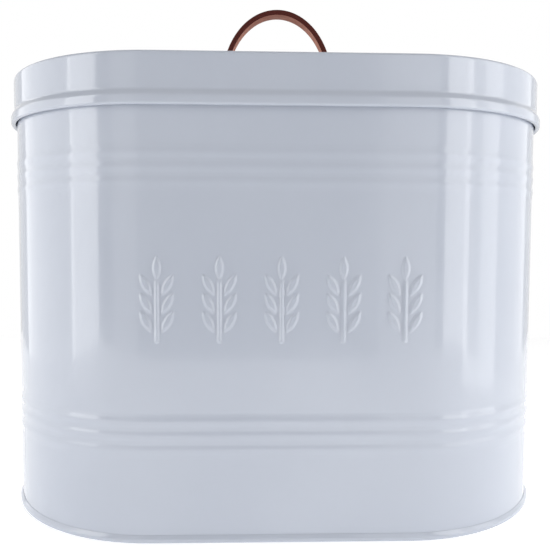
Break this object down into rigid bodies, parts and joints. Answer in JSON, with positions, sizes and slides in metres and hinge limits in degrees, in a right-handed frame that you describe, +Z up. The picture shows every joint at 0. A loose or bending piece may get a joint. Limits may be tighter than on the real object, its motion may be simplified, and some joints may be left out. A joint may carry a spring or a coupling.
{
  "type": "bread bin",
  "caption": "Upright oblong sheet-steel bin that keeps bread, with a lift-off lid, a leather strap handle and a relief of wheat ears.",
  "frame": {"origin": "middle of the footprint, on the surface the bin stands on", "axes": "+X along the bin's length, +Y from the front towards the back, +Z up"},
  "size_m": [0.3308, 0.196, 0.3062],
  "materials": {
    "enamel": "pale cool white gloss coating baked on sheet steel",
    "leather": "reddish brown strap leather with dark burnished edges",
    "copper": "copper-coloured plating, satin",
    "steel": "zinc-plated steel"
  },
  "bodies": {
    "bin": {"body_wall": "enamel", "base_panel": "enamel"},
    "lid": {"lid_shell": "enamel", "handle_strap": "leather", "handle_screw_left": "copper", "handle_screw_right": "copper", "handle_post_left": "copper", "handle_post_right": "copper", "handle_washer_left": "steel", "handle_washer_right": "steel"}
  },
  "joints": [
    {"name": "lid_lift", "type": "slide", "parent": "bin", "child": "lid", "axis": [0, 0, 1], "range_m": [0, 0.2]}
  ]
}
